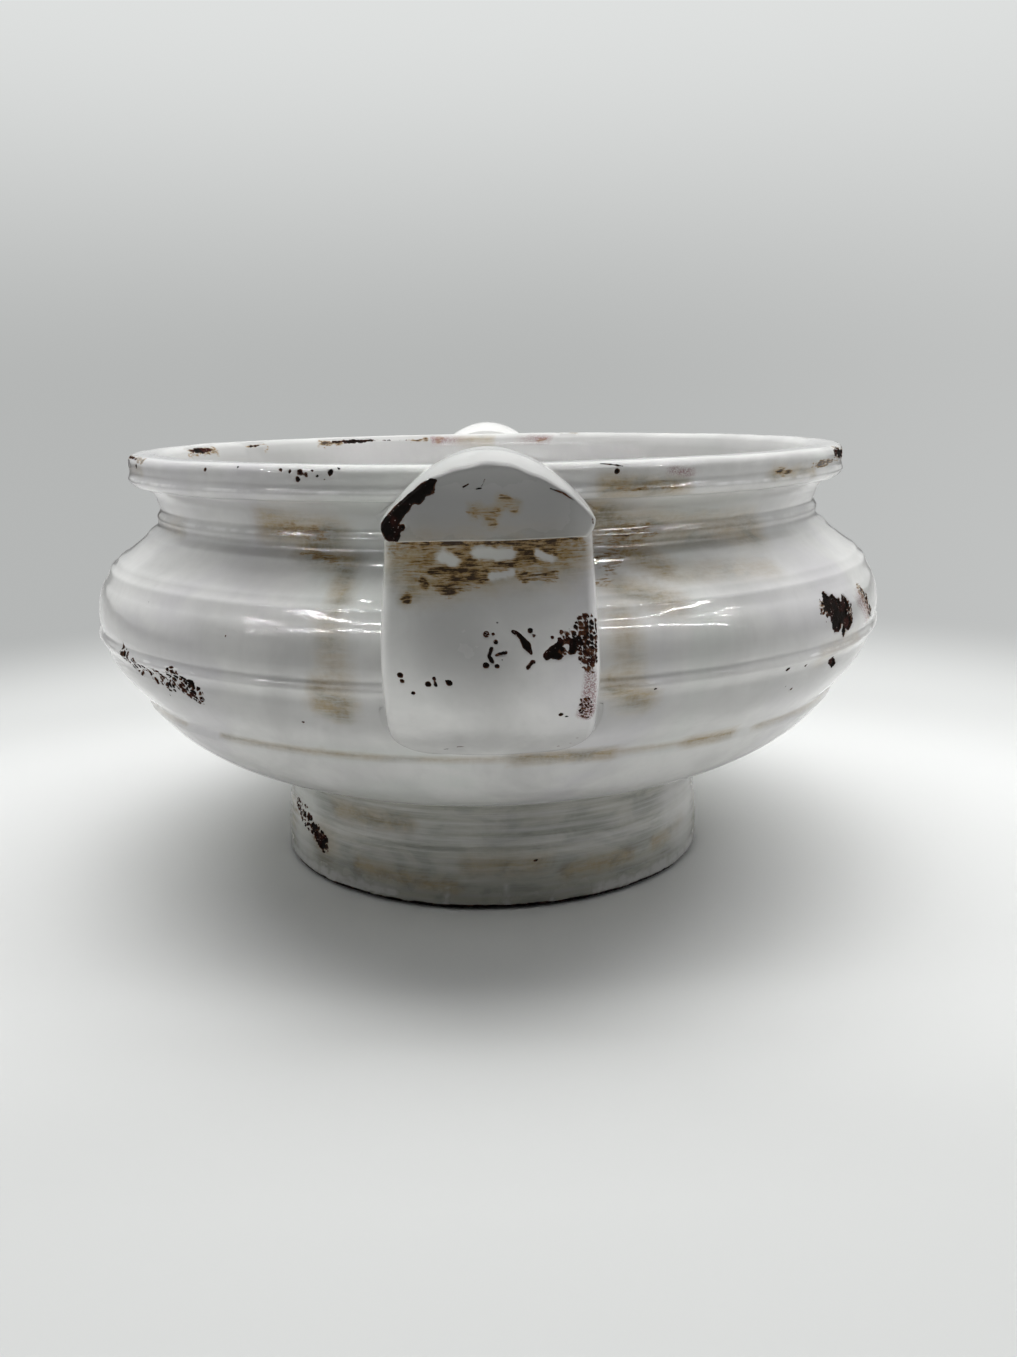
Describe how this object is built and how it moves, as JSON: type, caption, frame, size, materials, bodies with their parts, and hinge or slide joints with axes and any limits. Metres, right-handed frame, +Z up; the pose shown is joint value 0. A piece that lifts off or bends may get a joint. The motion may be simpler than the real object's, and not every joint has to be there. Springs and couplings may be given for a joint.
{
  "type": "handled bowl",
  "caption": "Footed glazed earthenware bowl with a rolled rim, and a half-round lug with a broad strap handle on each side.",
  "frame": {"origin": "centre of the foot on the table", "axes": "+Z up, +Y from the front handle to the rear handle, +X to the right as seen from the front handle"},
  "size_m": [0.3072, 0.356, 0.1679],
  "materials": {
    "white_glaze": "gloss white glaze over dark clay, antiqued, with chips and umber stains",
    "aged_glaze": "gloss white glaze with a tan wash in its turned lines"
  },
  "bodies": {
    "root": {"bowl_body": "white_glaze", "foot_ring": "aged_glaze", "foot_luting_coil": "aged_glaze", "front_handle_lug": "white_glaze", "front_handle_strap": "white_glaze", "front_lug_luting_coil": "white_glaze", "front_strap_luting_coil": "white_glaze", "rear_handle_lug": "white_glaze", "rear_handle_strap": "white_glaze", "rear_lug_luting_coil": "white_glaze", "rear_strap_luting_coil": "white_glaze"}
  },
  "joints": []
}
